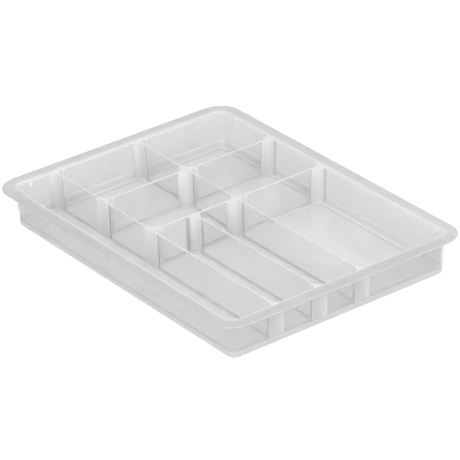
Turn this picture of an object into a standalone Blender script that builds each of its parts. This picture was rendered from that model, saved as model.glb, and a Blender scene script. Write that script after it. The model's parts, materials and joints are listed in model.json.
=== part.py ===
"""Drawer organizer insert: a shallow translucent polypropylene tray with eight compartments.

The real tray is one moulding. It is modelled feature by feature, so that the flange, the wall, the
floor, each divider, each post and each stacking pip is a solid of its own. Metres, +Z up, and the
origin is on the base plane under the middle of the tray. The long side runs along X.
"""

import math

import bmesh
import bpy
from mathutils import Matrix, Vector

MM = 0.001

# Driving dimensions
LENGTH = 350 * MM
WIDTH = 258 * MM
HEIGHT = 38.5 * MM
FLANGE_REACH = 13 * MM
WALL = 1.8 * MM
DRAFT = 0.0736
CORNER_RADIUS = 9.5 * MM
BASE_EDGE_RADIUS = 4 * MM
EDGE_ROUNDING = 0.6 * MM
GAP = 0.3 * MM

# Dividers, posts and pips
DIVIDER = 1.6 * MM
DIVIDER_DROP = 1 * MM
FRONT_LINE = -70 * MM
MIDDLE_LINE = -24.3 * MM
REAR_LINE = 21.4 * MM
LEFT_CROSS = -86.7 * MM
RIGHT_CROSS = -13.2 * MM
POST_ARM = 1.6 * MM
PIP_RADIUS = 2 * MM
PIP_TOP_RADIUS = 1.2 * MM
PIP_HEIGHT = 1 * MM
PIP_ROUNDING = 0.3 * MM
PIP_DROP = 4.8 * MM
PIP_FROM_SHORT_SIDE = 16 * MM
PIP_FROM_LONG_SIDE = 18.5 * MM

# How finely round stretches are divided
CORNER_STEPS = 8
POST_STEPS = 8
EDGE_STEPS = 3
BASE_EDGE_STEPS = 5
PIP_SIDES = 20

# Worked out from the dimensions above
RIM_X = LENGTH / 2 - FLANGE_REACH
RIM_Y = WIDTH / 2 - FLANGE_REACH
FLOOR_TOP = WALL
DIVIDER_TOP = HEIGHT - DIVIDER_DROP
DIVIDER_BOTTOM = FLOOR_TOP + GAP
HALF_DIVIDER = DIVIDER / 2
DRAFT_ANGLE = math.atan(DRAFT)
QUARTER_TURN = math.pi / 2
BASE_EDGE_CENTRE = (
    WALL - DRAFT * (HEIGHT - BASE_EDGE_RADIUS) - BASE_EDGE_RADIUS / math.cos(DRAFT_ANGLE)
)
FLOOR_SEAM = BASE_EDGE_CENTRE - 0.4 * MM

PLASTIC = {
    "rim_plastic": ((0.84, 0.845, 0.85, 1.0), 0.28),
    "wall_plastic": ((0.83, 0.835, 0.84, 1.0), 0.32),
    "floor_plastic": ((0.82, 0.825, 0.83, 1.0), 0.36),
    "divider_plastic": ((0.86, 0.865, 0.87, 1.0), 0.22),
    "post_plastic": ((0.87, 0.87, 0.855, 1.0), 0.34),
    "pip_plastic": ((0.86, 0.865, 0.87, 1.0), 0.30),
}


def clear_scene():
    for item in list(bpy.data.objects):
        bpy.data.objects.remove(item, do_unlink=True)


def new_collection(name):
    collection = bpy.data.collections.new(name)
    bpy.context.scene.collection.children.link(collection)
    return collection


def plastic(name, slot):
    colour, roughness = PLASTIC[slot]
    material = bpy.data.materials.new(name)
    material.use_nodes = True
    shader = material.node_tree.nodes["Principled BSDF"]
    shader.inputs["Base Color"].default_value = colour
    shader.inputs["Roughness"].default_value = roughness
    shader.inputs["Metallic"].default_value = 0.0
    shader.inputs["Transmission Weight"].default_value = 0.6
    material.diffuse_color = colour
    return material


def add_part(item, slot):
    """Gives a finished solid its material and puts it in the tray's collection."""
    item.data.materials.clear()
    item.data.materials.append(plastic(f"{slot}_{item.name}", slot))
    for owner in list(item.users_collection):
        owner.objects.unlink(item)
    parts.objects.link(item)
    item.data.shade_smooth()
    item.data.set_sharp_from_angle(angle=math.radians(35))
    return item


def make_cutter(item):
    for owner in list(item.users_collection):
        owner.objects.unlink(item)
    cutters.objects.link(item)
    item.hide_render = True
    item.display_type = "WIRE"
    return item


def add_boolean(item, cutter, operation):
    modifier = item.modifiers.new(f"{operation.lower()}_{cutter.name}", "BOOLEAN")
    modifier.operation = operation
    modifier.solver = "EXACT"
    modifier.object = cutter


def arc(centre, radius, start, end, steps):
    """Points on an arc, both ends included, with angles in radians."""
    points = []
    for step in range(steps + 1):
        angle = start + (end - start) * step / steps
        points.append((centre[0] + radius * math.cos(angle), centre[1] + radius * math.sin(angle)))
    return points


def rounded_rectangle(half_x, half_y, radius):
    points = []
    for corner, (side_x, side_y) in enumerate(((1, 1), (-1, 1), (-1, -1), (1, -1))):
        centre = (side_x * (half_x - radius), side_y * (half_y - radius))
        start = corner * QUARTER_TURN
        points.extend(arc(centre, radius, start, start + QUARTER_TURN, CORNER_STEPS))
    return points


def poly_curve(name, points):
    """A flat closed curve through the points, with no thickness yet."""
    curve = bpy.data.curves.new(name, "CURVE")
    curve.dimensions = "2D"
    spline = curve.splines.new("POLY")
    spline.points.add(len(points) - 1)
    for spot, (x, y) in zip(spline.points, points):
        spot.co = (x, y, 0, 1)
    spline.use_cyclic_u = True
    item = bpy.data.objects.new(name, curve)
    bpy.context.scene.collection.objects.link(item)
    return item


def to_mesh(curve_object):
    """Replaces a curve object by a welded mesh object of the same name."""
    bpy.context.view_layer.update()
    graph = bpy.context.evaluated_depsgraph_get()
    mesh = bpy.data.meshes.new_from_object(curve_object.evaluated_get(graph))
    name = curve_object.name
    place = curve_object.matrix_world.copy()
    bpy.data.objects.remove(curve_object, do_unlink=True)
    welded = bmesh.new()
    welded.from_mesh(mesh)
    bmesh.ops.remove_doubles(welded, verts=welded.verts, dist=1e-6)
    bmesh.ops.recalc_face_normals(welded, faces=welded.faces)
    welded.to_mesh(mesh)
    welded.free()
    item = bpy.data.objects.new(name, mesh)
    item.matrix_world = place
    bpy.context.scene.collection.objects.link(item)
    return item


def slab(name, outline, low, high):
    """A flat outline given thickness between two heights."""
    item = poly_curve(name, outline)
    item.data.fill_mode = "BOTH"
    item.data.extrude = (high - low) / 2
    item.location.z = (high + low) / 2
    return to_mesh(item)


def swept_ring(name, section):
    """A closed section of (outward, upward) points, carried round the inner edge of the rim."""
    profile = poly_curve(f"{name}_section", [(-outward, upward) for outward, upward in section])
    path = poly_curve(name, rounded_rectangle(RIM_X, RIM_Y, CORNER_RADIUS))
    path.data.bevel_mode = "OBJECT"
    path.data.bevel_object = profile
    ring = to_mesh(path)
    bpy.data.objects.remove(profile, do_unlink=True)
    return ring


def inner_wall_at(height):
    """How far the wall's inner face stands outside the rim line (never more than zero)."""
    return -DRAFT * (HEIGHT - height)


def wall_section():
    """The drafted wall with its rounded top edge and the rounded base edge, as one section."""
    outer_top = (WALL, HEIGHT)
    centre = (BASE_EDGE_CENTRE, BASE_EDGE_RADIUS)
    outer_edge = arc(centre, BASE_EDGE_RADIUS, -DRAFT_ANGLE, -QUARTER_TURN, BASE_EDGE_STEPS)
    inner_edge = arc(centre, BASE_EDGE_RADIUS - WALL, -QUARTER_TURN, -DRAFT_ANGLE, BASE_EDGE_STEPS)
    lip_centre = (EDGE_ROUNDING, HEIGHT - EDGE_ROUNDING)
    lip = arc(lip_centre, EDGE_ROUNDING, math.pi, QUARTER_TURN, EDGE_STEPS)
    seam = [(FLOOR_SEAM, 0), (FLOOR_SEAM, FLOOR_TOP)]
    return [outer_top] + outer_edge + seam + inner_edge + lip


def flange_section():
    """The flat flange with both outer edges rounded."""
    inside = WALL + GAP
    low = HEIGHT - WALL
    reach = FLANGE_REACH - EDGE_ROUNDING
    lower = arc((reach, low + EDGE_ROUNDING), EDGE_ROUNDING, -QUARTER_TURN, 0, EDGE_STEPS)
    upper = arc((reach, HEIGHT - EDGE_ROUNDING), EDGE_ROUNDING, 0, QUARTER_TURN, EDGE_STEPS)
    return [(inside, HEIGHT), (inside, low)] + lower + upper


def cavity_envelope():
    """The space inside the wall, a gap smaller all round, which trims the wall columns."""
    centre = (BASE_EDGE_CENTRE, BASE_EDGE_RADIUS)
    profile = arc(
        centre, BASE_EDGE_RADIUS - WALL - GAP, -QUARTER_TURN, -DRAFT_ANGLE, BASE_EDGE_STEPS
    )
    profile.append((inner_wall_at(HEIGHT) - GAP, HEIGHT))
    shape = bmesh.new()
    loops = []
    for outward, height in profile:
        outline = rounded_rectangle(RIM_X + outward, RIM_Y + outward, CORNER_RADIUS + outward)
        loops.append([shape.verts.new((x, y, height)) for x, y in outline])
    for lower, upper in zip(loops, loops[1:]):
        for index, vertex in enumerate(lower):
            after = (index + 1) % len(lower)
            shape.faces.new((vertex, lower[after], upper[after], upper[index]))
    shape.faces.new(reversed(loops[0]))
    shape.faces.new(loops[-1])
    mesh = bpy.data.meshes.new("cavity_envelope")
    shape.to_mesh(mesh)
    shape.free()
    return make_cutter(bpy.data.objects.new("cavity_envelope", mesh))


def cusp_outline(setback, radius, depth):
    """The three-sided space between a flat face and two round compartment corners.

    The face is the line y = 0 and the divider leaves along +Y. The outline starts at y = setback,
    its curved sides have the given radius about the corners' centres, and it ends at y = depth.
    """
    centre_x = HALF_DIVIDER + CORNER_RADIUS
    centre = (centre_x, CORNER_RADIUS)
    start = math.pi + math.asin((CORNER_RADIUS - setback) / radius)
    end = math.pi + math.asin((CORNER_RADIUS - depth) / radius)
    side = arc(centre, radius, start, end, POST_STEPS)
    mirrored = [(-x, y) for x, y in reversed(side) if x > 1e-6]
    return side + mirrored


def core_depth():
    """Where the two inner faces of a post's arms meet on its middle line."""
    centre_x = HALF_DIVIDER + CORNER_RADIUS
    reach = CORNER_RADIUS + POST_ARM
    return CORNER_RADIUS - math.sqrt(reach**2 - centre_x**2)


def place(item, spot, turn):
    """Turns a piece about Z and moves it to its spot in plan."""
    item.location.x = spot[0]
    item.location.y = spot[1]
    item.rotation_euler.z = turn


def lean_with_wall(item):
    """Shifts a piece inwards with depth, so that it follows the drafted wall it stands against."""
    middle = item.location.z
    for vertex in item.data.vertices:
        vertex.co.y -= inner_wall_at(vertex.co.z + middle)


def build_wall(cores):
    ring = swept_ring("outer_wall", wall_section())
    for core in cores:
        add_boolean(ring, core, "DIFFERENCE")
    return add_part(ring, "wall_plastic")


def build_flange():
    ring = swept_ring("rim_flange", flange_section())
    return add_part(ring, "rim_plastic")


def build_floor(cores):
    inset = FLOOR_SEAM - GAP
    outline = rounded_rectangle(RIM_X + inset, RIM_Y + inset, CORNER_RADIUS + inset)
    floor = slab("floor_panel", outline, 0, FLOOR_TOP)
    for core in cores:
        add_boolean(floor, core, "DIFFERENCE")
    return add_part(floor, "floor_plastic")


def build_divider(name, start, end, lean_start=False, lean_end=False):
    """A thin upright wall with a rounded top, between two points in plan."""
    start = Vector(start)
    end = Vector(end)
    length = (end - start).length
    shoulder = DIVIDER_TOP - EDGE_ROUNDING
    right = arc((HALF_DIVIDER - EDGE_ROUNDING, shoulder), EDGE_ROUNDING, 0, QUARTER_TURN, EDGE_STEPS)
    left = [(-x, y) for x, y in reversed(right)]
    foot = [(-HALF_DIVIDER, DIVIDER_BOTTOM), (HALF_DIVIDER, DIVIDER_BOTTOM)]
    wall = slab(name, right + left + foot, -length / 2, length / 2)
    upright = Matrix(((0, 0, 1, 0), (1, 0, 0, 0), (0, 1, 0, 0), (0, 0, 0, 1)))
    wall.data.transform(upright)
    for vertex in wall.data.vertices:
        lean = inner_wall_at(vertex.co.z)
        if lean_start and vertex.co.x < 0:
            vertex.co.x -= lean
        if lean_end and vertex.co.x > 0:
            vertex.co.x += lean
    direction = end - start
    place(wall, (start + end) / 2, math.atan2(direction.y, direction.x))
    return add_part(wall, "divider_plastic")


def build_wall_column(name, spot, turn, envelope):
    """A cored column between two round compartment corners, where a divider meets the wall."""
    outline = cusp_outline(GAP, CORNER_RADIUS, CORNER_RADIUS)
    column = slab(name, outline, FLOOR_TOP, DIVIDER_TOP)
    core_outline = cusp_outline(POST_ARM, CORNER_RADIUS + POST_ARM, core_depth())
    core = slab(f"core_{name}", core_outline, -WALL, DIVIDER_TOP - POST_ARM)
    for item in (column, core):
        lean_with_wall(item)
        place(item, spot, turn)
    make_cutter(core)
    add_boolean(column, envelope, "INTERSECT")
    add_boolean(column, core, "DIFFERENCE")
    add_part(column, "post_plastic")
    return core


def build_post(name, spot, turn):
    """A cored post between two round compartment corners, where two dividers meet."""
    outline = cusp_outline(GAP, CORNER_RADIUS, CORNER_RADIUS)
    post = slab(name, outline, DIVIDER_BOTTOM, DIVIDER_TOP)
    core_outline = cusp_outline(0, CORNER_RADIUS + POST_ARM, core_depth())
    core = slab(f"core_{name}", core_outline, -WALL, DIVIDER_TOP - POST_ARM)
    for item in (post, core):
        place(item, spot, turn)
    make_cutter(core)
    add_boolean(post, core, "DIFFERENCE")
    add_part(post, "post_plastic")
    return core


def build_pip(name, along, side_axis, side):
    """A small round stud high on the inner wall, which keeps nested trays from jamming."""
    bpy.ops.mesh.primitive_cone_add(
        vertices=PIP_SIDES, radius1=PIP_RADIUS, radius2=PIP_TOP_RADIUS, depth=PIP_HEIGHT
    )
    pip = bpy.context.object
    pip.name = name
    height = HEIGHT - PIP_DROP
    stand_off = GAP + PIP_HEIGHT / 2
    inward = Vector((-side * (side_axis == 0), -side * (side_axis == 1), 0))
    inward.z = DRAFT
    inward.normalize()
    spot = Vector((0, 0, height))
    rim = (RIM_X, RIM_Y)[side_axis]
    spot[side_axis] = side * (rim + inner_wall_at(height))
    spot[1 - side_axis] = along
    pip.rotation_mode = "QUATERNION"
    pip.rotation_quaternion = inward.to_track_quat("Z", "Y")
    pip.location = spot + inward * stand_off
    rounding = pip.modifiers.new("rounded_end", "BEVEL")
    rounding.width = PIP_ROUNDING
    rounding.segments = 2
    rounding.limit_method = "ANGLE"
    return add_part(pip, "pip_plastic")


def build_tray():
    envelope = cavity_envelope()
    towards_right = -QUARTER_TURN
    towards_left = QUARTER_TURN
    towards_rear = 0
    towards_front = math.pi

    wall_columns = {
        "wall_column_left_front": ((-RIM_X, FRONT_LINE), towards_right),
        "wall_column_left_rear": ((-RIM_X, REAR_LINE), towards_right),
        "wall_column_right_front": ((RIM_X, FRONT_LINE), towards_left),
        "wall_column_right_middle": ((RIM_X, MIDDLE_LINE), towards_left),
        "wall_column_right_rear": ((RIM_X, REAR_LINE), towards_left),
        "wall_column_rear_left": ((LEFT_CROSS, RIM_Y), towards_front),
        "wall_column_rear_right": ((RIGHT_CROSS, RIM_Y), towards_front),
    }
    wall_cores = []
    for name, (spot, turn) in wall_columns.items():
        wall_cores.append(build_wall_column(name, spot, turn, envelope))

    posts = {
        "post_front_left": ((LEFT_CROSS, FRONT_LINE + HALF_DIVIDER), towards_rear),
        "post_front_right": ((RIGHT_CROSS, FRONT_LINE + HALF_DIVIDER), towards_rear),
        "post_middle": ((RIGHT_CROSS + HALF_DIVIDER, MIDDLE_LINE), towards_right),
        "post_rear_left_front_side": ((LEFT_CROSS, REAR_LINE - HALF_DIVIDER), towards_front),
        "post_rear_left_back_side": ((LEFT_CROSS, REAR_LINE + HALF_DIVIDER), towards_rear),
        "post_rear_right_front_side": ((RIGHT_CROSS, REAR_LINE - HALF_DIVIDER), towards_front),
        "post_rear_right_back_side": ((RIGHT_CROSS, REAR_LINE + HALF_DIVIDER), towards_rear),
    }
    post_cores = [build_post(name, spot, turn) for name, (spot, turn) in posts.items()]
    build_floor(wall_cores + post_cores)
    build_wall(wall_cores)
    build_flange()

    reach = CORNER_RADIUS + GAP
    wall_end = RIM_X - reach
    rear_end = RIM_Y - reach
    post_end = HALF_DIVIDER + reach
    for name, line in (("long_divider_front", FRONT_LINE), ("long_divider_rear", REAR_LINE)):
        build_divider(name, (-wall_end, line), (wall_end, line), lean_start=True, lean_end=True)
    middle_start = (RIGHT_CROSS + post_end, MIDDLE_LINE)
    build_divider("long_divider_middle", middle_start, (wall_end, MIDDLE_LINE), lean_end=True)
    for side, line in (("left", LEFT_CROSS), ("right", RIGHT_CROSS)):
        front_ends = ((line, FRONT_LINE + post_end), (line, REAR_LINE - post_end))
        build_divider(f"cross_divider_{side}_front", *front_ends)
        rear_ends = ((line, REAR_LINE + post_end), (line, rear_end))
        build_divider(f"cross_divider_{side}_rear", *rear_ends, lean_end=True)

    pip_x = RIM_X - PIP_FROM_SHORT_SIDE
    pip_y = RIM_Y - PIP_FROM_LONG_SIDE
    for end, direction in (("left", -1), ("right", 1)):
        build_pip(f"stacking_pip_{end}_front", -pip_y, 0, direction)
        build_pip(f"stacking_pip_{end}_rear", pip_y, 0, direction)
        build_pip(f"stacking_pip_front_{end}", direction * pip_x, 1, -1)
        build_pip(f"stacking_pip_rear_{end}", direction * pip_x, 1, 1)


clear_scene()
parts = new_collection("drawer_organizer_insert")
cutters = new_collection("cutters")
build_tray()
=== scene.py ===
import json
import math

import bmesh
import bpy
from mathutils import Matrix, Vector

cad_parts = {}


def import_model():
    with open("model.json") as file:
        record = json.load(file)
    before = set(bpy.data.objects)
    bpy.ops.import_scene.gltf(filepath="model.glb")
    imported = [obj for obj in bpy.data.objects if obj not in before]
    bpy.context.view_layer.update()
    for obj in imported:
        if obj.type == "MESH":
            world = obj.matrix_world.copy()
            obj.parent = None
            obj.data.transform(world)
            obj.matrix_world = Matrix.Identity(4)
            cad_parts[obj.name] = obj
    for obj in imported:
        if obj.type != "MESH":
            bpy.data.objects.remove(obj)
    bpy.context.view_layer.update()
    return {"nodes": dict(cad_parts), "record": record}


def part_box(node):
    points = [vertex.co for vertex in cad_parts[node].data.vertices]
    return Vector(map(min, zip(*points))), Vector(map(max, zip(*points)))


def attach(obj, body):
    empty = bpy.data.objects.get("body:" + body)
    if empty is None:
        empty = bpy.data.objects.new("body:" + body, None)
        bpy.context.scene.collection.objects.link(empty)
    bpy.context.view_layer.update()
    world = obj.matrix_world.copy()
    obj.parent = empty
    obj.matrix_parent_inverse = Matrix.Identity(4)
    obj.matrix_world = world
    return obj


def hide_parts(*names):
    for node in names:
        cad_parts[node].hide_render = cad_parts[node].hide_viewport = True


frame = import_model()

MM = 0.001
QUARTER_TURN = math.pi / 2

# The frame's measures
WALL_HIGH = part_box("outer_wall")[1]
FLANGE_LOW, FLANGE_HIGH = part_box("rim_flange")
FLOOR_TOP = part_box("floor_panel")[1].z
DIVIDER_LOW, DIVIDER_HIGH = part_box("long_divider_front")
POST_LOW, POST_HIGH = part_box("post_front_left")

# The tray's main measures: GAP is between CAD nodes, and DRAFT is the wall's lean per height
GAP = 0.3 * MM
HEIGHT = WALL_HIGH.z
WALL = FLANGE_HIGH.z - FLANGE_LOW.z
RIM_X = WALL_HIGH.x - WALL
RIM_Y = WALL_HIGH.y - WALL
FLANGE_REACH = FLANGE_HIGH.x - RIM_X
DIVIDER_TOP = DIVIDER_HIGH.z
HALF_DIVIDER = (DIVIDER_HIGH.y - DIVIDER_LOW.y) / 2
CORNER_RADIUS = POST_HIGH.y - POST_LOW.y + GAP
DRAFT = 0.0736
DRAFT_ANGLE = math.atan(DRAFT)

# The moulding's finer measures
LIP_ROUNDING = 0.75 * MM
FLANGE_FILLET = 1.2 * MM
BASE_EDGE_RADIUS = 4 * MM
BASE_EDGE_CENTRE = (
    WALL - DRAFT * (HEIGHT - BASE_EDGE_RADIUS) - BASE_EDGE_RADIUS / math.cos(DRAFT_ANGLE)
)
SEAM_INSET = 0.4 * MM
FLOOR_SEAM = BASE_EDGE_CENTRE - SEAM_INSET
DIVIDER_ROUNDING = 0.55 * MM
# The rounding of a divider's top stops a little short of level
MOUTH_END = QUARTER_TURN * 1.15
MOUTH_DEPTH = DIVIDER_ROUNDING * math.sin(MOUTH_END)
FOOT_FILLET = 1.4 * MM
POST_ARM = 1.6 * MM
PIP_RADIUS = 2 * MM
PIP_HEIGHT = 1.25 * MM
PIP_ROUNDING = 0.7 * MM
PIP_ROOT = WALL / 3

# Allowances for joining and cutting solids, and for finding a face's feature
OVERLAP = 0.15 * MM
BEYOND_WALL = 3 * MM
BEHIND_FACE = 2 * WALL
ONE_POINT = OVERLAP / 10
CUT_TOLERANCE = 0.001 * MM
PIP_MARGIN = WALL / 2

# How finely round shapes are divided, and the angle from which an edge is sharp
CORNER_STEPS = 16
POST_STEPS = 12
EDGE_STEPS = 4
BASE_EDGE_STEPS = 8
PIP_SIDES = 24
SMOOTHING_ANGLE = math.radians(50)

# Where the plastic is painted: a painted highlight along the lip, painted light over the inner
# foot and just under the lip, a darker frosted band round the outer foot, and round each post and
# column a milky zone painted lighter for light glowing through it
LIP_BAND = 2.4 * MM
TOP_BAND = 1.3 * MM
INNER_BAND_TOP = 10 * MM
OUTER_BAND_TOP = 7.5 * MM
FOOT_RISE = 0.8 * MM
MILKY_GLOW_HALF_WIDTH = 6.4 * MM
MILKY_GLOW_DEPTH = 8 * MM
CLOUDED_GLOW_HALF_WIDTH = 7.8 * MM
HAZY_GLOW_HALF_WIDTH = 9.5 * MM
HAZY_GLOW_DEPTH = 10.7 * MM
MILKY_GLOW_BACK = 1.2 * WALL

# The moulding's faces by kind, kept as material slots until the moulding is split
(
    FLOOR,
    WALL_FACE,
    OUTER_BAND,
    INNER_BAND,
    FLANGE,
    LIP,
    RIM_EDGE,
    NET,
    NET_TOP,
    FOOT,
    CORE,
) = KINDS = range(11)
NET_KINDS = (NET, NET_TOP, FOOT)
kind_materials = [bpy.data.materials.new(f"kind_{kind}") for kind in KINDS]

# A face's plastic: its node's own, or a special finish: a painted highlight, painted light, the
# darker outer band, or a milky zone painted lighter
PLAIN, PAINTED_HIGHLIGHT, LIP_HIGHLIGHT, MILKY_GLOW, CLOUDED_GLOW, HAZY_GLOW, PAINTED_LIGHT_BAND, BANDED, VEILED_GLOW = range(9)
# The lip and the divider tops and feet carry painted highlights, and the inner band painted light
FINISH_OF_KIND = {
    NET_TOP: PAINTED_HIGHLIGHT,
    FOOT: PAINTED_HIGHLIGHT,
    LIP: LIP_HIGHLIGHT,
    OUTER_BAND: BANDED,
    INNER_BAND: PAINTED_LIGHT_BAND,
}


# ---------------------------------------------------------------- layout


def line_of(node, axis):
    """Where a divider's middle plane stands on an axis."""
    low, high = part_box(node)
    return (low[axis] + high[axis]) / 2


FRONT_LINE = line_of("long_divider_front", 1)
MIDDLE_LINE = line_of("long_divider_middle", 1)
REAR_LINE = line_of("long_divider_rear", 1)
LEFT_CROSS = line_of("cross_divider_left_front", 0)
RIGHT_CROSS = line_of("cross_divider_right_front", 0)

# A side of a compartment is its place and whether it is the outer wall
LEFT_WALL = (-RIM_X, True)
RIGHT_WALL = (RIM_X, True)
FRONT_WALL = (-RIM_Y, True)
REAR_WALL = (RIM_Y, True)


def before(line):
    """The face of a divider on the side of lower coordinates."""
    return (line - HALF_DIVIDER, False)


def after(line):
    """The face of a divider on the side of higher coordinates."""
    return (line + HALF_DIVIDER, False)


COLUMNS = {
    "left": (LEFT_WALL, before(LEFT_CROSS)),
    "centre": (after(LEFT_CROSS), before(RIGHT_CROSS)),
    "right": (after(RIGHT_CROSS), RIGHT_WALL),
}
COMPARTMENTS = [((LEFT_WALL, RIGHT_WALL), (FRONT_WALL, before(FRONT_LINE)))]
for column in ("left", "centre"):
    COMPARTMENTS.append((COLUMNS[column], (after(FRONT_LINE), before(REAR_LINE))))
    COMPARTMENTS.append((COLUMNS[column], (after(REAR_LINE), REAR_WALL)))
COMPARTMENTS.append((COLUMNS["right"], (after(FRONT_LINE), before(MIDDLE_LINE))))
COMPARTMENTS.append((COLUMNS["right"], (after(MIDDLE_LINE), before(REAR_LINE))))
COMPARTMENTS.append((COLUMNS["right"], (after(REAR_LINE), REAR_WALL)))

# A junction is a post or column: the middle of the face it stands against, and which way it points
TO_REAR = 0
TO_FRONT = math.pi
TO_LEFT = QUARTER_TURN
TO_RIGHT = -QUARTER_TURN
JUNCTIONS = {}


def add_junction(node, spot, turn, on_wall):
    """Notes a post or column under its node's name."""
    JUNCTIONS[node] = {"spot": spot, "turn": turn, "on_wall": on_wall}


for side, rim, turn in (("left", -RIM_X, TO_RIGHT), ("right", RIM_X, TO_LEFT)):
    for row, line in (("front", FRONT_LINE), ("middle", MIDDLE_LINE), ("rear", REAR_LINE)):
        if (side, row) != ("left", "middle"):
            add_junction(f"wall_column_{side}_{row}", (rim, line), turn, True)
for side, line in (("left", LEFT_CROSS), ("right", RIGHT_CROSS)):
    add_junction(f"wall_column_rear_{side}", (line, RIM_Y), TO_FRONT, True)
    add_junction(f"post_front_{side}", (line, FRONT_LINE + HALF_DIVIDER), TO_REAR, False)
    add_junction(f"post_rear_{side}_front_side", (line, REAR_LINE - HALF_DIVIDER), TO_FRONT, False)
    add_junction(f"post_rear_{side}_back_side", (line, REAR_LINE + HALF_DIVIDER), TO_REAR, False)
add_junction("post_middle", (RIGHT_CROSS + HALF_DIVIDER, MIDDLE_LINE), TO_RIGHT, False)
JUNCTION_HALF_WIDTH = HALF_DIVIDER + CORNER_RADIUS

NODE_OF_KIND = {
    FLOOR: "floor_panel",
    WALL_FACE: "outer_wall",
    OUTER_BAND: "outer_wall",
    INNER_BAND: "outer_wall",
    FLANGE: "rim_flange",
    LIP: "rim_flange",
    RIM_EDGE: "rim_flange",
}
BOXES = {node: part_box(node) for node in frame["nodes"]}
DIVIDERS = [node for node in frame["nodes"] if "divider" in node]
PIPS = [node for node in frame["nodes"] if "pip" in node]


# ---------------------------------------------------------------- shapes


def arc(centre, radius, start, end, steps):
    """Points on an arc, both ends included, with angles in radians."""
    points = []
    for step in range(steps + 1):
        angle = start + (end - start) * step / steps
        points.append((centre[0] + radius * math.cos(angle), centre[1] + radius * math.sin(angle)))
    return points


def wall_at(height):
    """How far the wall's inner face stands outside the rim line: less than zero below the rim."""
    return -DRAFT * (HEIGHT - height)


def ring_loop(outward, height):
    """A rounded rectangle at a distance outside the rim line, at a height."""
    radius = CORNER_RADIUS + outward
    loop = []
    for corner, (side_x, side_y) in enumerate(((1, 1), (-1, 1), (-1, -1), (1, -1))):
        centre = (side_x * (RIM_X - CORNER_RADIUS), side_y * (RIM_Y - CORNER_RADIUS))
        start = corner * QUARTER_TURN
        turn = arc(centre, radius, start, start + QUARTER_TURN, CORNER_STEPS)
        loop.extend((x, y, height) for x, y in turn)
    return loop


def loft(name, loops, kinds, end_kind):
    """A closed solid through loops of equal count, with one kind for each band between them."""
    shape = bmesh.new()
    rings = [[shape.verts.new(point) for point in loop] for loop in loops]
    for lower, upper, kind in zip(rings, rings[1:], kinds):
        for index, vertex in enumerate(lower):
            beside = (index + 1) % len(lower)
            face = shape.faces.new((vertex, lower[beside], upper[beside], upper[index]))
            face.material_index = kind
    for ring in (rings[0], rings[-1]):
        shape.faces.new(ring).material_index = end_kind
    bmesh.ops.recalc_face_normals(shape, faces=shape.faces)
    mesh = bpy.data.meshes.new(name)
    shape.to_mesh(mesh)
    shape.free()
    for material in kind_materials:
        mesh.materials.append(material)
    item = bpy.data.objects.new(name, mesh)
    bpy.context.scene.collection.objects.link(item)
    return item


def apply_boolean(item, cutters, operation):
    """Cuts or joins a solid with others, one after another, and removes them."""
    for cutter in cutters:
        modifier = item.modifiers.new(cutter.name, "BOOLEAN")
        modifier.operation = operation
        modifier.solver = "EXACT"
        modifier.object = cutter
    apply_modifiers(item)
    for cutter in cutters:
        bpy.data.objects.remove(cutter, do_unlink=True)


def apply_modifiers(item):
    """Replaces an object's mesh with the one that its modifiers give."""
    bpy.context.view_layer.update()
    graph = bpy.context.evaluated_depsgraph_get()
    mesh = bpy.data.meshes.new_from_object(item.evaluated_get(graph))
    item.modifiers.clear()
    item.data = mesh


def make_tub():
    """The flange, wall and floor as one solid: the skin of the tray without its dividers."""
    centre = (BASE_EDGE_CENTRE, BASE_EDGE_RADIUS)
    inner_base = arc(centre, BASE_EDGE_RADIUS - WALL, -QUARTER_TURN, -DRAFT_ANGLE, BASE_EDGE_STEPS)
    outer_base = arc(centre, BASE_EDGE_RADIUS, -DRAFT_ANGLE, -QUARTER_TURN, BASE_EDGE_STEPS)
    lip_centre = (LIP_ROUNDING, HEIGHT - LIP_ROUNDING)
    lip = arc(lip_centre, LIP_ROUNDING, math.pi, QUARTER_TURN, EDGE_STEPS)
    reach = FLANGE_REACH - LIP_ROUNDING
    underside = HEIGHT - WALL
    edge_top = arc((reach, HEIGHT - LIP_ROUNDING), LIP_ROUNDING, QUARTER_TURN, 0, EDGE_STEPS)
    edge_low = arc((reach, underside + LIP_ROUNDING), LIP_ROUNDING, 0, -QUARTER_TURN, EDGE_STEPS)
    fillet_centre = (WALL + FLANGE_FILLET, underside - FLANGE_FILLET)
    fillet = arc(fillet_centre, FLANGE_FILLET, QUARTER_TURN, math.pi, EDGE_STEPS)
    inner_band_top = (wall_at(INNER_BAND_TOP), INNER_BAND_TOP)
    outer_band_top = (WALL + wall_at(OUTER_BAND_TOP), OUTER_BAND_TOP)
    top_band_low = HEIGHT - LIP_ROUNDING - TOP_BAND
    # From the floor up the inside, over the flange, down the outside and under the floor
    stretches = (
        # Painted light: the inner band over the foot is whitened to cover dark lines of shade
        ([(FLOOR_SEAM, FLOOR_TOP)] + inner_base + [inner_band_top], INNER_BAND),
        ([(wall_at(top_band_low), top_band_low)], WALL_FACE),
        # Painted light: the same whitened band just under the lip covers a dark line of shade
        (lip[:1], INNER_BAND),
        # Painted highlight along the lip and onto the flange
        (lip[1:] + [(LIP_BAND, HEIGHT)], LIP),
        (edge_top[:1], FLANGE),
        (edge_top[1:] + edge_low, RIM_EDGE),
        (fillet[:1], FLANGE),
        (fillet[1:] + [outer_band_top], WALL_FACE),
        (outer_base + [(FLOOR_SEAM, 0)], OUTER_BAND),
    )
    loops = []
    kinds = []
    for points, kind in stretches:
        loops.extend(ring_loop(outward, height) for outward, height in points)
        kinds.extend([kind] * len(points))
    return loft("moulding", loops, kinds[1:], FLOOR)


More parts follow.
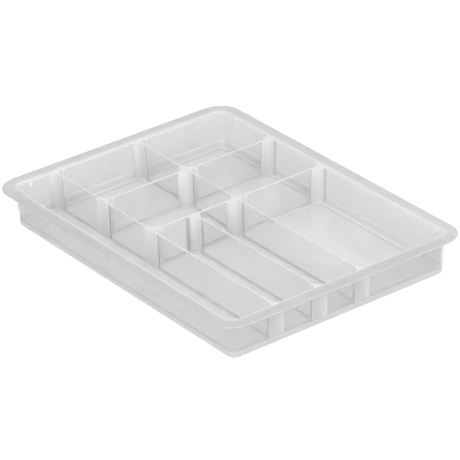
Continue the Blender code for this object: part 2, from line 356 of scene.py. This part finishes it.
def cup_loop(x_sides, y_sides, height, grow):
    """A compartment's outline at a height, grown outwards by a distance.

    Each side is (place, is_wall), low side first. On a wall side the outline runs on beyond the
    wall's inner face, because the tub already has that face. Where a divider meets the wall, the
    round corner ends just inside the wall's thickness.
    """
    loop = []
    for corner, (sign_x, sign_y) in enumerate(((1, 1), (-1, 1), (-1, -1), (1, -1))):
        x, wall_x = x_sides[sign_x > 0]
        y, wall_y = y_sides[sign_y > 0]
        if wall_x:
            x += sign_x * (wall_at(height) + OVERLAP)
        if wall_y:
            y += sign_y * (wall_at(height) + OVERLAP)
        far_x = x + sign_x * BEYOND_WALL
        far_y = y + sign_y * BEYOND_WALL
        if wall_x and wall_y:
            loop.append((far_x, far_y, height))
            continue
        centre = (x - sign_x * CORNER_RADIUS, y - sign_y * CORNER_RADIUS)
        start = corner * QUARTER_TURN
        turn = arc(centre, CORNER_RADIUS + grow, start, start + QUARTER_TURN, POST_STEPS)
        points = [(px, py, height) for px, py in turn]
        x_end_first = corner in (0, 2)
        if wall_x:
            beyond = (far_x, points[0 if x_end_first else -1][1], height)
        if wall_y:
            beyond = (points[-1 if x_end_first else 0][0], far_y, height)
        if wall_x or wall_y:
            points.insert(0 if wall_x == x_end_first else len(points), beyond)
        loop.extend(points)
    return loop


def make_cup(name, x_sides, y_sides):
    """The space of one compartment, with a filleted foot and a mouth that rounds divider tops."""
    low = FLOOR_TOP - OVERLAP / 2
    levels = []
    for across, up in arc((0, 0), FOOT_FILLET, -QUARTER_TURN, 0, BASE_EDGE_STEPS):
        levels.append((low + FOOT_FILLET + up, across - FOOT_FILLET))
    levels.append((low + FOOT_FILLET + FOOT_RISE, 0))
    for across, up in arc((0, 0), DIVIDER_ROUNDING, math.pi, MOUTH_END, EDGE_STEPS):
        levels.append((DIVIDER_TOP - MOUTH_DEPTH + up, across + DIVIDER_ROUNDING))
    last_height, last_grow = levels[-1]
    levels.append((last_height + OVERLAP / 2, last_grow + OVERLAP))
    levels.append((HEIGHT + WALL, last_grow + OVERLAP))
    loops = [cup_loop(x_sides, y_sides, height, grow) for height, grow in levels]
    kinds = [FOOT] * (BASE_EDGE_STEPS + 1) + [NET] + [NET_TOP] * (EDGE_STEPS + 2)
    return loft(name, loops, kinds, NET)


def make_net():
    """All dividers with their posts: a slab that fills the tub, less the eight compartments."""
    middle = BASE_EDGE_RADIUS - WALL / 2
    centre = (BASE_EDGE_CENTRE, BASE_EDGE_RADIUS)
    profile = arc(centre, middle, -QUARTER_TURN, -DRAFT_ANGLE, BASE_EDGE_STEPS)
    profile.append((WALL / 2 + wall_at(DIVIDER_TOP), DIVIDER_TOP))
    loops = [ring_loop(outward, height) for outward, height in profile]
    net = loft("net", loops, [NET] * (len(loops) - 1), NET_TOP)
    cups = [make_cup(f"cup_{index}", *sides) for index, sides in enumerate(COMPARTMENTS)]
    apply_boolean(net, cups, "DIFFERENCE")
    return net


def lean_of(junction, height):
    """How far the face that a junction stands against leans over it at a height."""
    return -wall_at(height) if junction["on_wall"] else 0


def to_world(junction, x, y, height):
    """A point given along and away from the face that a post or column stands against."""
    spot = Vector((x, y + lean_of(junction, height), height))
    return Matrix.Rotation(junction["turn"], 4, "Z") @ spot + Vector((*junction["spot"], 0))


def to_junction(junction, point):
    """The same point as seen from the junction: along the face, away from it, and height."""
    spot = Matrix.Rotation(-junction["turn"], 4, "Z") @ (point - Vector((*junction["spot"], 0)))
    spot.y -= lean_of(junction, spot.z)
    return spot


def cusp_outline(setback, radius, depth):
    """The three-sided space between a flat face at y = 0 and two round compartment corners."""
    centre = (JUNCTION_HALF_WIDTH, CORNER_RADIUS)
    start = math.pi + math.asin((CORNER_RADIUS - setback) / radius)
    end = math.pi + math.asin((CORNER_RADIUS - depth) / radius)
    side = arc(centre, radius, start, end, POST_STEPS)
    return side + [(-x, y) for x, y in reversed(side) if x > ONE_POINT]


def make_core(name, junction):
    """The hollow under a post or column, open at the underside."""
    arm = CORNER_RADIUS + POST_ARM
    depth = CORNER_RADIUS - math.sqrt(arm**2 - JUNCTION_HALF_WIDTH**2)
    outline = cusp_outline(POST_ARM if junction["on_wall"] else 0, arm, depth)
    loops = []
    for height in (-WALL, DIVIDER_TOP - POST_ARM):
        loops.append([to_world(junction, x, y, height) for x, y in outline])
    return loft(name, loops, [CORE], CORE)


def make_pip(node):
    """A small round stud with a softened end, rooted in the wall."""
    low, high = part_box(node)
    middle = (low + high) / 2
    on_short_side = high.x - low.x < high.y - low.y
    axis = 0 if on_short_side else 1
    side = math.copysign(1, middle[axis])
    inward = Vector((0, 0, DRAFT))
    inward[axis] = -side
    inward.normalize()
    root = middle.copy()
    root[axis] = side * ((RIM_X, RIM_Y)[axis] + wall_at(middle.z))
    place = Matrix.Translation(root) @ inward.to_track_quat("Z", "Y").to_matrix().to_4x4()
    corner_centre = (PIP_RADIUS - PIP_ROUNDING, PIP_HEIGHT - PIP_ROUNDING)
    corner = arc(corner_centre, PIP_ROUNDING, 0, QUARTER_TURN, EDGE_STEPS)
    profile = [(PIP_RADIUS, -PIP_ROOT)] + corner
    loops = []
    for radius, height in profile:
        circle = arc((0, 0), radius, 0, 2 * math.pi, PIP_SIDES)[:-1]
        loops.append([place @ Vector((x, y, height)) for x, y in circle])
    return loft(f"stud_{node}", loops, [NET] * (len(loops) - 1), NET)


# ---------------------------------------------------------------- features


def cut_at_features(item):
    """Adds edges where one feature ends and the next begins, and round each junction's milky zone,
    which is painted lighter.
    """
    shape = bmesh.new()
    shape.from_mesh(item.data)
    for junction in JUNCTIONS.values():
        depths = [CORNER_RADIUS - OVERLAP] if junction["on_wall"] else [0, CORNER_RADIUS]
        for depth in depths + [MILKY_GLOW_DEPTH, HAZY_GLOW_DEPTH]:
            cut_across(shape, junction, (0, depth), (1, 0), NET_KINDS)
        for half_width in (MILKY_GLOW_HALF_WIDTH, CLOUDED_GLOW_HALF_WIDTH, HAZY_GLOW_HALF_WIDTH):
            for side in (-half_width, half_width):
                cut_across(shape, junction, (side, 0), (0, 1), NET_KINDS + (WALL_FACE,))
    shape.to_mesh(item.data)
    shape.free()


def cut_across(shape, junction, start, along, kinds):
    """Cuts the faces of some kinds near a junction with the upright plane through a line."""
    near = set()
    for face in shape.faces:
        if face.material_index in kinds and is_near(face, junction):
            near.add(face)
    edges = {edge for face in near for edge in face.edges}
    verts = {vertex for face in near for vertex in face.verts}
    origin = to_world(junction, *start, HEIGHT)
    across = to_world(junction, start[0] + along[0], start[1] + along[1], HEIGHT) - origin
    rise = to_world(junction, *start, 0) - origin
    groups = (verts, edges, near)
    geometry = [element for group in groups for element in sorted(group, key=index_of)]
    bmesh.ops.bisect_plane(
        shape, geom=geometry, dist=CUT_TOLERANCE, plane_co=origin, plane_no=across.cross(rise)
    )
    for group in (shape.verts, shape.edges, shape.faces):
        group.index_update()


def is_near(face, junction):
    """Whether a face reaches into the part of the plan round a junction that is cut."""
    reach = JUNCTION_HALF_WIDTH + WALL
    spots = [to_junction(junction, vertex.co) for vertex in face.verts]
    low_x, high_x = min(spot.x for spot in spots), max(spot.x for spot in spots)
    low_y, high_y = min(spot.y for spot in spots), max(spot.y for spot in spots)
    return low_x < reach and high_x > -reach and low_y < reach and high_y > -BEHIND_FACE


def index_of(element):
    """The order in which elements are cut, so that every run cuts them the same way."""
    return element.index


def feature_of(polygon):
    """The CAD node whose feature a face belongs to."""
    if polygon.material_index in NODE_OF_KIND:
        return NODE_OF_KIND[polygon.material_index]
    centre = polygon.center
    for node in PIPS:
        low, high = BOXES[node]
        beyond = [max(low[axis] - centre[axis], centre[axis] - high[axis]) for axis in range(3)]
        if max(beyond) < PIP_MARGIN:
            return node
    for node, junction in JUNCTIONS.items():
        spot = to_junction(junction, centre)
        near, far = (-WALL, CORNER_RADIUS - OVERLAP) if junction["on_wall"] else (0, CORNER_RADIUS)
        if abs(spot.x) < JUNCTION_HALF_WIDTH and near <= spot.y <= far:
            return node
    return min(DIVIDERS, key=lambda node: distance_in_plan(node, centre))


def distance_in_plan(node, point):
    """How far a point lies outside a node's box, as seen from above."""
    low, high = BOXES[node]
    away = [max(low[axis] - point[axis], point[axis] - high[axis], 0) for axis in (0, 1)]
    return math.hypot(*away)


def finish_of(polygon):
    """Which plastic a face has: its node's own, or a special finish: a painted highlight, painted
    light, the darker outer band, or a milky zone painted lighter.
    """
    kind = polygon.material_index
    if kind in FINISH_OF_KIND:
        return FINISH_OF_KIND[kind]
    if kind not in (NET, WALL_FACE) or polygon.center.z > DIVIDER_TOP:
        return PLAIN
    # Near a post or column: a milky zone painted lighter, standing in for light glowing through
    # the thick plastic and lifting the shade in its hollow
    for junction in JUNCTIONS.values():
        spot = to_junction(junction, polygon.center)
        if not -MILKY_GLOW_BACK <= spot.y <= HAZY_GLOW_DEPTH:
            continue
        if kind == WALL_FACE:
            if abs(spot.x) < CLOUDED_GLOW_HALF_WIDTH:
                return CLOUDED_GLOW
            continue
        if abs(spot.x) < MILKY_GLOW_HALF_WIDTH:
            if spot.y > MILKY_GLOW_DEPTH:
                return HAZY_GLOW
            return VEILED_GLOW if junction["on_wall"] else MILKY_GLOW
        if abs(spot.x) < HAZY_GLOW_HALF_WIDTH and spot.y < 0:
            return HAZY_GLOW
    return PLAIN


def smooth_normals(item):
    """Flat faces stay flat and round edges smooth, as corner normals on the mesh."""
    item.data.shade_smooth()
    item.data.set_sharp_from_angle(angle=SMOOTHING_ANGLE)
    item.modifiers.new("even_normals", "WEIGHTED_NORMAL").keep_sharp = True
    apply_modifiers(item)


def split_into_features(item):
    """One piece for each CAD node, with the whole moulding's normals so that no seam shows."""
    mesh = item.data
    groups = {}
    for polygon in mesh.polygons:
        groups.setdefault(feature_of(polygon), []).append(polygon)
    normals = [corner.vector.copy() for corner in mesh.corner_normals]
    made = {}
    for node, polygons in groups.items():
        used = {}
        faces = []
        corner_normals = []
        for polygon in polygons:
            faces.append([used.setdefault(index, len(used)) for index in polygon.vertices])
            corner_normals.extend(normals[corner] for corner in polygon.loop_indices)
        piece_mesh = bpy.data.meshes.new(f"{node}_moulded")
        piece_mesh.from_pydata([mesh.vertices[index].co for index in used], [], faces)
        piece_mesh.shade_smooth()
        piece_mesh.normals_split_custom_set(corner_normals)
        for made_polygon, polygon in zip(piece_mesh.polygons, polygons):
            made_polygon.material_index = finish_of(polygon)
        piece = bpy.data.objects.new(f"{node}_moulded", piece_mesh)
        bpy.context.scene.collection.objects.link(piece)
        made[node] = piece
    bpy.data.objects.remove(item, do_unlink=True)
    for material in kind_materials:
        bpy.data.materials.remove(material)
    return made


moulding = make_tub()
studs = [make_pip(node) for node in PIPS]
apply_boolean(moulding, [make_net()] + studs, "UNION")
cores = [make_core(f"core_{node}", junction) for node, junction in JUNCTIONS.items()]
apply_boolean(moulding, cores, "DIFFERENCE")
cut_at_features(moulding)
smooth_normals(moulding)
pieces = split_into_features(moulding)
for node, piece in pieces.items():
    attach(piece, "root")
    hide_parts(node)


# ---------------------------------------------------------------- plastic

POLYPROPYLENE_IOR = 1.49
NOISE_LOW = 0.3
NOISE_HIGH = 0.7
CLOUD_SIZE = 35 * MM
CLOUD_DETAIL = 3
CLOUD_SHADE = 0.96
FROST_SIZE = 4 * MM
FROST_DETAIL = 4
FROST_VARIATION = 0.15
GRAIN_SIZE = 0.45 * MM
GRAIN_DETAIL = 2
GRAIN_DEPTH = 0.05 * MM

# Each plastic's colour, roughness, share of light let through, and strength of grain.
# The first six are the record's material slots and the others are the special finishes: painted
# highlights, painted light, the darker outer band and milky zones painted lighter.
LOOKS = {
    "rim_plastic": ((0.73, 0.725, 0.73), 0.36, 0.5, 0.1),
    "wall_plastic": ((0.75, 0.745, 0.75), 0.06, 0.8, 0.02),
    "floor_plastic": ((0.88, 0.875, 0.88), 0.1, 0.8, 0.02),
    "divider_plastic": ((0.98, 0.98, 0.985), 0.05, 0.95, 0.01),
    "post_plastic": ((0.95, 0.945, 0.95), 0.34, 0.65, 0.05),
    "pip_plastic": ((0.97, 0.97, 0.97), 0.2, 0.3, 0.05),
    # Painted highlight: divider tops, and with the same paint divider feet, whiter and less clear
    # so they show as bright lines
    "highlight_edge_plastic": ((0.92, 0.92, 0.92), 0.36, 0.3, 0.05),
    # Painted highlight along the lip: less clear than the rim, so it shows lighter
    "lip_highlight_plastic": ((0.73, 0.725, 0.73), 0.4, 0.15, 0.1),
    # Milky zones painted lighter round posts and columns, standing in for light glowing through
    # them: milky, clouded, veiled and hazy
    "milky_glow_plastic": ((0.98, 0.975, 0.98), 0.36, 0.15, 0.05),
    "clouded_glow_plastic": ((0.77, 0.765, 0.77), 0.2, 0.55, 0.05),
    # Painted light over the inner foot and just under the lip, whitened to cover dark lines of
    # shade
    "painted_light_band_plastic": ((0.97, 0.965, 0.97), 0.36, 0.3, 0.03),
    "banded_plastic": ((0.66, 0.655, 0.66), 0.36, 0.4, 0.05),
    # More of the milky zones painted lighter round posts and columns
    "veiled_glow_plastic": ((0.89, 0.885, 0.89), 0.36, 0.15, 0.05),
    "hazy_glow_plastic": ((0.99, 0.985, 0.99), 0.36, 0.2, 0.05),
}
PLASTIC_OF_FINISH = {
    PAINTED_HIGHLIGHT: "highlight_edge_plastic",
    LIP_HIGHLIGHT: "lip_highlight_plastic",
    MILKY_GLOW: "milky_glow_plastic",
    CLOUDED_GLOW: "clouded_glow_plastic",
    PAINTED_LIGHT_BAND: "painted_light_band_plastic",
    BANDED: "banded_plastic",
    VEILED_GLOW: "veiled_glow_plastic",
    HAZY_GLOW: "hazy_glow_plastic",
}
MATERIAL_SLOTS = {row["node"]: row["material_slot"] for row in frame["record"]["subparts"]}


def noise(nodes, links, size, detail):
    """Even noise with features of about one size, fixed to the object."""
    place = nodes.new("ShaderNodeTexCoord")
    texture = nodes.new("ShaderNodeTexNoise")
    texture.inputs["Scale"].default_value = 1 / size
    texture.inputs["Detail"].default_value = detail
    links.new(place.outputs["Object"], texture.inputs["Vector"])
    return texture.outputs["Fac"]


def spread(nodes, links, value, low, high):
    """Stretches the middle of a noise between two values."""
    stretch = nodes.new("ShaderNodeMapRange")
    stretch.inputs["From Min"].default_value = NOISE_LOW
    stretch.inputs["From Max"].default_value = NOISE_HIGH
    stretch.inputs["To Min"].default_value = low
    stretch.inputs["To Max"].default_value = high
    links.new(value, stretch.inputs["Value"])
    return stretch.outputs["Result"]


def plastic(name, colour, roughness, transmission, grain):
    """Translucent polypropylene: faintly cloudy, unevenly frosted, with a fine moulded grain."""
    material = bpy.data.materials.new(name)
    material.use_nodes = True
    nodes = material.node_tree.nodes
    links = material.node_tree.links
    shader = nodes["Principled BSDF"]
    shader.inputs["Transmission Weight"].default_value = transmission
    shader.inputs["IOR"].default_value = POLYPROPYLENE_IOR

    clouds = nodes.new("ShaderNodeMix")
    clouds.data_type = "RGBA"
    cloudiness = spread(nodes, links, noise(nodes, links, CLOUD_SIZE, CLOUD_DETAIL), 0, 1)
    links.new(cloudiness, clouds.inputs["Factor"])
    clouds.inputs["A"].default_value = (*[channel * CLOUD_SHADE for channel in colour], 1)
    clouds.inputs["B"].default_value = (*colour, 1)
    links.new(clouds.outputs["Result"], shader.inputs["Base Color"])

    frost = noise(nodes, links, FROST_SIZE, FROST_DETAIL)
    lowest = roughness * (1 - FROST_VARIATION)
    highest = roughness * (1 + FROST_VARIATION)
    links.new(spread(nodes, links, frost, lowest, highest), shader.inputs["Roughness"])

    bump = nodes.new("ShaderNodeBump")
    bump.inputs["Strength"].default_value = grain
    bump.inputs["Distance"].default_value = GRAIN_DEPTH
    links.new(noise(nodes, links, GRAIN_SIZE, GRAIN_DETAIL), bump.inputs["Height"])
    links.new(bump.outputs["Normal"], shader.inputs["Normal"])
    return material


def dress(piece, slot):
    """Gives a piece its slot's plastic first, and then those of its faces' special finishes."""
    mesh = piece.data
    finishes = sorted({polygon.material_index for polygon in mesh.polygons} - {PLAIN})
    mesh.materials.append(plastics[slot])
    for finish in finishes:
        mesh.materials.append(plastics[PLASTIC_OF_FINISH[finish]])
    place_of = {finish: place for place, finish in enumerate([PLAIN] + finishes)}
    for polygon in mesh.polygons:
        polygon.material_index = place_of[polygon.material_index]


plastics = {name: plastic(name, *look) for name, look in LOOKS.items()}
for node, piece in pieces.items():
    slot = MATERIAL_SLOTS[node]
    dress(piece, slot)


# ---------------------------------------------------------------- studio

WHITE = (1, 1, 1, 1)
BOUNCES = 24
TRANSPARENT_BOUNCES = 32
FLOOR_SIZE = 30
FLOOR_DROP = 0.5 * MM
FLOOR_COLOUR = (0.5, 0.5, 0.5, 1)
FLOOR_GLOW = 0.7
FLOOR_ROUGHNESS = 0.9
WORLD_STRENGTH = 0.82
# Each light's place, size and power
LIGHTS = {
    "front_fill": ((0.9, -1.0, 0.8), (1.5, 1.5), 12),
    "back_fill": ((-0.7, 0.6, 1.5), (1.2, 1.2), 4),
    "key_light": ((1.1, 0.3, 0.6), (0.6, 0.6), 3),
}
# The camera that was fitted to the photo: angles in degrees, lens and sensor in millimetres
AZIMUTH = 54.467
ELEVATION = 27.986
ROLL = -2.784
DISTANCE = 2.849
TARGET = (33.6 * MM, -20.3 * MM, HEIGHT)
LENS = 258.6
SENSOR_WIDTH = 36
CLIP_END = 100

scene = bpy.context.scene
scene.view_settings.view_transform = "Standard"
scene.cycles.max_bounces = BOUNCES
scene.cycles.transmission_bounces = BOUNCES
scene.cycles.transparent_max_bounces = TRANSPARENT_BOUNCES


def make_floor():
    """A matt grey floor that glows enough to show as white, as in the photo."""
    bpy.ops.mesh.primitive_plane_add(size=FLOOR_SIZE, location=(0, 0, -FLOOR_DROP))
    floor = bpy.context.object
    floor.name = "studio_floor"
    material = bpy.data.materials.new("studio_floor")
    material.use_nodes = True
    shader = material.node_tree.nodes["Principled BSDF"]
    shader.inputs["Base Color"].default_value = FLOOR_COLOUR
    shader.inputs["Emission Color"].default_value = WHITE
    shader.inputs["Emission Strength"].default_value = FLOOR_GLOW
    shader.inputs["Roughness"].default_value = FLOOR_ROUGHNESS
    shader.inputs["Specular IOR Level"].default_value = 0
    floor.data.materials.append(material)


def make_world():
    """Even white light from all round."""
    world = bpy.data.worlds.new("studio")
    world.use_nodes = True
    background = world.node_tree.nodes["Background"]
    background.inputs["Color"].default_value = WHITE
    background.inputs["Strength"].default_value = WORLD_STRENGTH
    scene.world = world


def make_light(name, spot, size, power):
    """A soft rectangular light that faces the tray."""
    light = bpy.data.lights.new(name, "AREA")
    light.shape = "RECTANGLE"
    light.size, light.size_y = size
    light.energy = power
    item = bpy.data.objects.new(name, light)
    item.location = spot
    item.rotation_euler = (-Vector(spot)).to_track_quat("-Z", "Y").to_euler()
    scene.collection.objects.link(item)


def make_camera():
    """A long lens from the front right, a little above, at the photographed angle."""
    azimuth, elevation, roll = (math.radians(angle) for angle in (AZIMUTH, ELEVATION, ROLL))
    flat = math.cos(elevation)
    back = Vector((math.sin(azimuth) * flat, -math.cos(azimuth) * flat, math.sin(elevation)))
    right = Vector((math.cos(azimuth), math.sin(azimuth), 0))
    up = back.cross(right)
    rolled_right = right * math.cos(roll) + up * math.sin(roll)
    rolled_up = up * math.cos(roll) - right * math.sin(roll)
    place = Matrix((rolled_right, rolled_up, back)).transposed().to_4x4()
    place.translation = Vector(TARGET) + back * DISTANCE
    data = bpy.data.cameras.new("camera")
    data.sensor_width = SENSOR_WIDTH
    data.lens = LENS
    data.clip_end = CLIP_END
    camera = bpy.data.objects.new("camera", data)
    camera.matrix_world = place
    scene.collection.objects.link(camera)
    scene.camera = camera


make_floor()
make_world()
for name, settings in LIGHTS.items():
    make_light(name, *settings)
make_camera()
